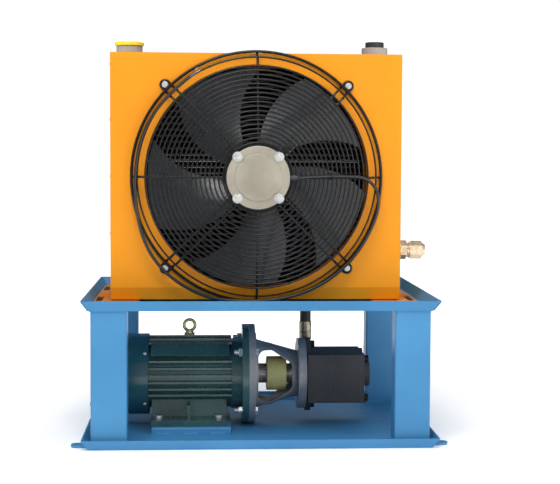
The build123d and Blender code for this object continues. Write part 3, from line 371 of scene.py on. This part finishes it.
black_steel = cast_metal(
    "black_steel", linear(40, 41, 43), linear(28, 28, 30), linear(96, 98, 100),
    metallic=0.7, rough=(0.34, 0.5),
)
bronze = turned("bronze", linear(190, 150, 84), linear(160, 120, 64))
copper = plated("copper_winding", linear(170, 96, 52), linear(130, 66, 36), linear(206, 140, 96))
nylon = moulded(
    "nylon", linear(196, 188, 128), linear(170, 164, 106), rough=(0.34, 0.48), grain=0.0001, subsurface=0.1,
)
yellow_plastic = moulded("yellow_plastic", linear(250, 226, 40), linear(240, 208, 30), rough=(0.24, 0.36))
dark_plastic = moulded("dark_plastic", linear(46, 42, 44), linear(34, 31, 33), rough=(0.4, 0.55))
# Black rubber for the cables, hose and ties; on the foot pads the same black is painted shade in the slots.
black_rubber = moulded(
    "black_rubber", linear(24, 24, 25), linear(34, 33, 32), rough=(0.5, 0.66), grain=0.0001, specular=0.35,
)
cable_black = moulded(
    "cable_black", linear(16, 16, 17), linear(24, 24, 25), rough=(0.26, 0.38), grain=0.00002, specular=0.55,
)
hose_black = moulded("hose_black", linear(34, 33, 33), linear(22, 22, 22), rough=(0.45, 0.6), grain=0.00015)

node_looks = {
    blue: ("base_tray", "posts", "upper_tray", "motor_riser"),
    orange: ("shroud",),
    tank_orange: ("header_tank_left", "header_tank_right"),
    foot_orange: ("foot_left", "foot_right"),
    guard_black: ("fan_guard",),
    blade_grey: ("fan_blades", "motor_fan"),
    motor_green: ("motor_frame", "motor_front_shield", "motor_rear_shield", "terminal_box", "terminal_lid"),
    cowl_green: ("motor_cowl",),
    disc_alloy: ("fan_motor_flange",),
    bell_alloy: ("bell_housing",),
    core_alloy: ("core_side_plates", "core_tubes", "motor_rotor"),
    fin_alloy: ("core_fins",),
    pump_grey: ("pump_front_cover", "pump_body", "pump_end_cover"),
    bright_zinc: ("guard_bolts", "flange_screws", "mounting_bolts", "flange_bolts"),
    yellow_zinc: ("side_port_stud", "side_port_nut", "side_port_cap", "pump_adapter", "inlet_elbow"),
    eye_zinc: ("eye_bolt",),
    ferrule_zinc: ("hose_end_lower", "hose_end_upper"),
    ground_steel: (
        "fan_shaft", "fan_bearings", "motor_shaft", "motor_bearings", "pump_drive_gear", "pump_driven_gear",
    ),
    hub_steel: ("coupling_hub_motor", "coupling_hub_pump"),
    black_steel: ("fan_rotor_can", "pump_bolts"),
    bronze: ("pump_bushes",),
    copper: ("fan_stator", "motor_stator"),
    nylon: ("coupling_sleeve",),
    yellow_plastic: ("outlet_plug",),
    dark_plastic: ("upper_port_cap", "fan_cable_gland"),
    # The foot pads are a black sheet under the slotted foot plates, painted shade that makes the slots look
    # dark.
    black_rubber: ("foot_pads", "fan_cable", "oil_hose", "cable_ties"),
}
for material, names in node_looks.items():
    for name in names:
        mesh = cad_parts[name].data
        mesh.materials.clear()
        mesh.materials.append(material)


# ---------------------------------------------------------------- mesh helpers
def piece_from(name, verts, faces, material, body="cooler_unit", smooth=False):
    """Mesh piece that rides a body."""
    mesh = bpy.data.meshes.new(name)
    mesh.from_pydata(verts, [], faces)
    mesh.update()
    for face in mesh.polygons:
        face.use_smooth = smooth
    mesh.materials.append(material)
    piece = bpy.data.objects.new(name, mesh)
    scene.collection.objects.link(piece)
    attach(piece, body)
    return piece


def lathe(centre, axis, profile, verts, faces, steps=20):
    """Turned shape along an axis; the profile is (radius, height) pairs from end to end."""
    axis = Vector(axis).normalized()
    side = axis.orthogonal().normalized()
    across = axis.cross(side)
    first = len(verts)
    for radius, height in profile:
        for n in range(steps):
            angle = tau * n / steps
            spoke = side * cos(angle) + across * sin(angle)
            verts.append(Vector(centre) + axis * height + spoke * radius)
    for row in range(len(profile) - 1):
        for n in range(steps):
            a, b = first + row * steps + n, first + row * steps + (n + 1) % steps
            faces.append((a, b, b + steps, a + steps))
    faces.append(tuple(first + n for n in reversed(range(steps))))
    faces.append(tuple(first + (len(profile) - 1) * steps + n for n in range(steps)))


def bead(path, radius, ripple, verts, faces, closed=False, sides=8):
    """Lumpy weld bead along a dense path of points."""
    points = [Vector(point) for point in path]
    count = len(points)
    first = len(verts)
    for n, point in enumerate(points):
        ahead = points[(n + 1) % count] if closed or n + 1 < count else point
        behind = points[n - 1] if closed or n else point
        along = (ahead - behind).normalized()
        side = along.orthogonal().normalized()
        if abs(along.z) < 0.9:
            side = Vector((0, 0, 1)).cross(along).normalized()
        across = along.cross(side)
        swell = radius * (1 + ripple * sin(n * 2.1) + 0.5 * ripple * sin(n * 0.73))
        for k in range(sides):
            angle = tau * k / sides
            verts.append(point + (side * cos(angle) + across * sin(angle)) * swell)
    for n in range(count if closed else count - 1):
        for k in range(sides):
            a, b = first + n * sides, first + (n + 1) % count * sides
            faces.append((a + k, a + (k + 1) % sides, b + (k + 1) % sides, b + k))
    if not closed:
        faces.append(tuple(first + k for k in reversed(range(sides))))
        faces.append(tuple(first + (count - 1) * sides + k for k in range(sides)))


def along_line(start, end, step=0.0024):
    """Evenly spaced points between two ends."""
    start, end = Vector(start), Vector(end)
    count = max(2, round((end - start).length / step))
    return [start.lerp(end, n / count) for n in range(count + 1)]


# Low dome of a rivet or screw head, from its rim to its crown.
dome = ((1.0, 0.0), (1.0, 0.12), (0.93, 0.3), (0.72, 0.46), (0.4, 0.56), (0.12, 0.6))


def heads(name, places, axis, radius, material, body="cooler_unit"):
    """Row of small domed heads on a surface."""
    verts, faces = [], []
    for place in places:
        lathe(place, axis, [(r * radius, h * radius) for r, h in dome], verts, faces)
    return piece_from(name, verts, faces, material, body, smooth=True)


# ---------------------------------------------------------------- fan guard
# The photographed wires look a little thicker than the CAD's, so a coat of this depth goes on.
wire_coat = 0.00055
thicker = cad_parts["fan_guard"].modifiers.new("wire_coat", "DISPLACE")
thicker.strength = wire_coat
thicker.mid_level = 0.0


# ---------------------------------------------------------------- cords
def cord_curve(name, route, radius, material):
    """Smooth round cord along given points."""
    data = bpy.data.curves.new(name, "CURVE")
    data.dimensions = "3D"
    data.resolution_u = 12
    data.bevel_depth = radius
    data.bevel_resolution = 5
    data.use_fill_caps = True
    spline = data.splines.new("NURBS")
    spline.points.add(len(route) - 1)
    for point, place in zip(spline.points, route):
        point.co = (*place, 1)
    spline.order_u = 3
    spline.use_endpoint_u = True
    data.materials.append(material)
    cord = bpy.data.objects.new(name, data)
    scene.collection.objects.link(cord)
    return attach(cord, "cooler_unit")


cable_radius, hose_radius = 0.004, 0.015
cable_route = [
    (0.086, -0.2622, 0.637),
    (0.147, -0.246, 0.641),
    (0.207, -0.233, 0.641),
    (0.254, -0.224, 0.638),
    (0.287, -0.208, 0.603),
    (0.285, -0.200, 0.545),
    (0.238, -0.199, 0.452),
    (0.164, -0.198, 0.383),
    (0.071, -0.196, 0.343),
    (-0.029, -0.195, 0.336),
    (-0.129, -0.197, 0.344),
    (-0.214, -0.199, 0.391),
    (-0.269, -0.199, 0.454),
    (-0.295, -0.198, 0.532),
    (-0.303, -0.203, 0.636),
    (-0.286, -0.206, 0.738),
    (-0.232, -0.207, 0.826),
    (-0.170, -0.206, 0.876),
]
cable = cord_curve("fan_motor_cable", cable_route, cable_radius, cable_black)
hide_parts("fan_cable")

hose_x, hose_y, elbow_x = 0.142, 0.200, 0.3135
hose_route = [
    (hose_x, hose_y, 0.240),
    (hose_x, hose_y, 0.332),
    (0.161, 0.205, 0.424),
    (0.218, 0.211, 0.500),
    (0.280, 0.217, 0.570),
    (elbow_x, 0.224, 0.651),
    (elbow_x, 0.224, 0.738),
]
hose = cord_curve("pressure_hose", hose_route, hose_radius, hose_black)
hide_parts("oil_hose")


# Points of one insulated core and of its pin: distance past the cable's cut end, and out from its axis.
core_path = ((-0.004, 0.0018), (0.006, 0.002), (0.013, 0.0035), (0.020, 0.0045))
pin_path = ((0.0195, 0.0044), (0.0235, 0.005), (0.028, 0.0056))
core_radius, pin_radius = 0.0012, 0.0009


def cable_cores():
    """Three insulated cores with crimped pins that stand out of the cable's bare end."""
    start, before = Vector(cable_route[-1]), Vector(cable_route[-2])
    along = (start - before).normalized()
    side = along.cross(Vector((0, 1, 0))).normalized()
    pieces = []
    for index, shade in enumerate((linear(120, 74, 44), linear(58, 96, 160), linear(150, 156, 60))):
        angle = tau * index / 3
        spread = side * cos(angle) + along.cross(side) * sin(angle)
        insulation = moulded(f"core_insulation_{index}", shade, tuple(0.8 * c for c in shade[:3]) + (1,))
        core_points = [start + along * ahead + spread * out for ahead, out in core_path]
        pin_points = [start + along * ahead + spread * out for ahead, out in pin_path]
        core = cord_curve(f"cable_core_{index}", core_points, core_radius, insulation)
        pin = cord_curve(f"core_pin_{index}", pin_points, pin_radius, bright_zinc)
        for piece in (core, pin):
            pieces.append(piece)
    return pieces


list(cable_cores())


# ---------------------------------------------------------------- core fins
def fin_pack():
    """Folded fins between the core's flat tubes, with slanted louvres just behind each row's front."""
    tube_count, tube_height, end_plate = 36, 0.005, 0.006
    low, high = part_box("core_side_plates")
    depth_low, depth_high = (c.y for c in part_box("core_tubes"))
    base = low.z + end_plate
    height = high.z - low.z - 2 * end_plate
    gap = (height - tube_count * tube_height) / (tube_count + 1)
    period, thick, clearance, side_gap = 0.0056, 0.00025, 0.0003, 0.001
    folds = int((high.x - low.x - side_gap) / period)
    start = (low.x + high.x) / 2 - folds * period / 2
    end = start + folds * period
    # One fold: share of the period, and whether the sheet is at the row's floor or its roof there.
    fold_line = ((0.0, 0), (0.16, 1), (0.5, 1), (0.66, 0))
    louvre_count, louvre_setback, louvre_depth, louvre_sheet, louvre_share = 3, 0.020, 0.006, 0.0004, 0.42
    verts, faces = [], []
    for row in range(tube_count + 1):
        floor_z = base + row * (gap + tube_height) + clearance
        rise = gap - 2 * clearance - thick
        line = [
            (start + (fold + share) * period, floor_z + level * rise)
            for fold in range(folds) for share, level in fold_line
        ]
        first = len(verts)
        for x, z in line:
            for y in (depth_low, depth_high):
                verts += [(x, y, z), (x, y, z + thick)]
        for n in range(len(line) - 1):
            a, b = first + 4 * n, first + 4 * n + 4
            faces += [
                (a, b, b + 2, a + 2), (a + 1, a + 3, b + 3, b + 1),
                (a, a + 1, b + 1, b), (a + 2, b + 2, b + 3, a + 3),
            ]
        last = first + 4 * (len(line) - 1)
        faces += [(first, first + 2, first + 3, first + 1), (last, last + 1, last + 3, last + 2)]
        for louvre in range(louvre_count):
            foot = floor_z + rise * louvre / louvre_count
            top = min(foot + rise * louvre_share, floor_z + rise)
            near = depth_low + louvre_setback
            far = near + louvre_depth
            first = len(verts)
            for x in (start, end):
                verts += [
                    (x, near, foot), (x, far, top),
                    (x, far + louvre_sheet, top - louvre_sheet / 2),
                    (x, near + louvre_sheet, foot - louvre_sheet / 2),
                ]
            for n in range(4):
                m = (n + 1) % 4
                faces.append((first + n, first + m, first + 4 + m, first + 4 + n))
            faces += [tuple(first + n for n in (3, 2, 1, 0)), tuple(first + n for n in (4, 5, 6, 7))]
    fins = piece_from("fin_pack", verts, faces, fin_alloy)
    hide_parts("core_fins")


fin_pack()

# ---------------------------------------------------------------- welds and small fasteners
post_size = (0.085, 0.060)
post_corner = 0.005
tray_flare = 0.0165
tray_sheet = 0.003
bead_stand_off = 0.0005


def post_outline(centre_x, centre_y, level):
    """Closed path round one post at a height."""
    half_x, half_y = (size / 2 + bead_stand_off for size in post_size)
    path = []
    for sign_x, sign_y, turn_from in ((1, 1, 0), (-1, 1, 90), (-1, -1, 180), (1, -1, 270)):
        for step in range(4):
            angle = radians(turn_from + 30 * step)
            path.append((
                centre_x + sign_x * (half_x - post_corner) + post_corner * cos(angle),
                centre_y + sign_y * (half_y - post_corner) + post_corner * sin(angle), level,
            ))
    dense = []
    for n, place in enumerate(path):
        dense += along_line(place, path[(n + 1) % len(path)])[:-1]
    return dense


def post_beads(verts, faces):
    """Beads round both ends of every post."""
    low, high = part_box("posts")
    reach_x, reach_y = (high[n] - post_size[n] / 2 for n in range(2))
    for x in (-reach_x, reach_x):
        for y in (-reach_y, reach_y):
            for level in (low.z + bead_stand_off, high.z - bead_stand_off):
                bead(post_outline(x, y, level), 0.0022, 0.16, verts, faces, closed=True)


def riser_beads(verts, faces):
    """Three short beads along each long edge of the riser."""
    low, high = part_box("motor_riser")
    length, level = 0.036, tray_sheet + bead_stand_off
    for y in (low.y, high.y):
        for share in (0.06, 0.40, 0.74):
            start = low.x + share * (high.x - low.x)
            bead(along_line((start, y, level), (start + length, y, level)), 0.0024, 0.18, verts, faces)


def tray_beads(verts, faces):
    """Beads up the mitred corners of both trays, ending inside the lip's corner."""
    low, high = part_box("upper_tray")
    foot_x, foot_y = high.x - tray_flare, high.y - tray_flare
    lip = high.z - low.z
    foot_out, foot_up, top_in, top_down = 0.0008, 0.0020, 0.0024, 0.0030
    for level in (0.0, low.z):
        for x in (-1, 1):
            for y in (-1, 1):
                foot = (x * (foot_x + foot_out), y * (foot_y + foot_out), level + foot_up)
                top = (x * (high.x - top_in), y * (high.y - top_in), level + lip - top_down)
                bead(along_line(foot, top), 0.0015, 0.12, verts, faces)


def stand_welds():
    """Every weld bead of the stand, as one piece."""
    verts, faces = [], []
    post_beads(verts, faces)
    riser_beads(verts, faces)
    tray_beads(verts, faces)
    piece_from("stand_welds", verts, faces, blue, smooth=True)


def box_rivets():
    """Painted rivets down the sheet box's sides and along its top, near its front and rear edges."""
    low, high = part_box("shroud")
    rear_row, front_row = high.y - 0.018, low.y + 0.020
    levels = [low.z + (high.z - low.z) * share for share in (0.047, 0.27, 0.5, 0.73, 0.953)]
    rows = [(y, z) for y in (front_row, rear_row) for z in levels]
    radius = 0.0042
    heads("side_rivets_left", [(low.x, y, z) for y, z in rows], (-1, 0, 0), radius, orange)
    heads("side_rivets_right", [(high.x, y, z) for y, z in rows], (1, 0, 0), radius, orange)
    across = [-0.250, -0.125, 0.0, 0.125, 0.250]
    heads("top_rivets", [(x, rear_row, high.z) for x in across], (0, 0, 1), radius, orange)


def motor_screws():
    """Screw heads round the cowl's open end and in the corners of the terminal lid."""
    low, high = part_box("motor_cowl")
    axis_height, cowl_radius = (low.z + high.z) / 2, high.y
    head_radius, from_edge, sunk = 0.0042, 0.0084, 0.0001
    verts, faces = [], []
    for angle in (-142, -38, 38, 142):
        outward = Vector((0, cos(radians(angle)), sin(radians(angle))))
        seat = Vector((high.x - from_edge, 0, axis_height)) + outward * (cowl_radius - sunk)
        lathe(seat, outward, [(head_radius * r, head_radius * h) for r, h in dome], verts, faces)
    piece_from("cowl_screws", verts, faces, bright_zinc, smooth=True)
    low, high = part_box("terminal_lid")
    inset, sunk, head_radius = 0.008, 0.0002, 0.0038
    columns, levels = (low.x + inset, high.x - inset), (low.z + inset, high.z - inset)
    corners = [(x, high.y - sunk, z) for x in columns for z in levels]
    heads("lid_screws", corners, (0, 1, 0), head_radius, bright_zinc)


stand_welds()
box_rivets()
motor_screws()

# ---------------------------------------------------------------- floor
# It glows a little, more with distance, so that it fades into the backdrop without a horizon.
floor_half, floor_level = 8, -0.0005
corner_signs = ((-1, -1), (1, -1), (1, 1), (-1, 1))
floor_corners = [(x * floor_half, y * floor_half, floor_level) for x, y in corner_signs]
floor_mesh = bpy.data.meshes.new("floor")
floor_mesh.from_pydata(floor_corners, [], [(0, 1, 2, 3)])
floor = bpy.data.objects.new("floor", floor_mesh)
scene.collection.objects.link(floor)
floor_look = Recipe("floor_white", specular=0.1)
reach = floor_look.add("ShaderNodeVectorMath", operation="LENGTH")
floor_look.put(reach.inputs[0], floor_look.place)
floor_look.shader.inputs["Emission Color"].default_value = (1, 1, 1, 1)
glow = floor_look.band(reach.outputs["Value"], 0.5, 2.4, 0.22, 0.85)
floor_look.put(floor_look.shader.inputs["Emission Strength"], glow)
floor_mesh.materials.append(
    floor_look.finish(linear(252, 252, 253), 0.8, floor_look.relief(floor_look.noise(40), 0.0001))
)
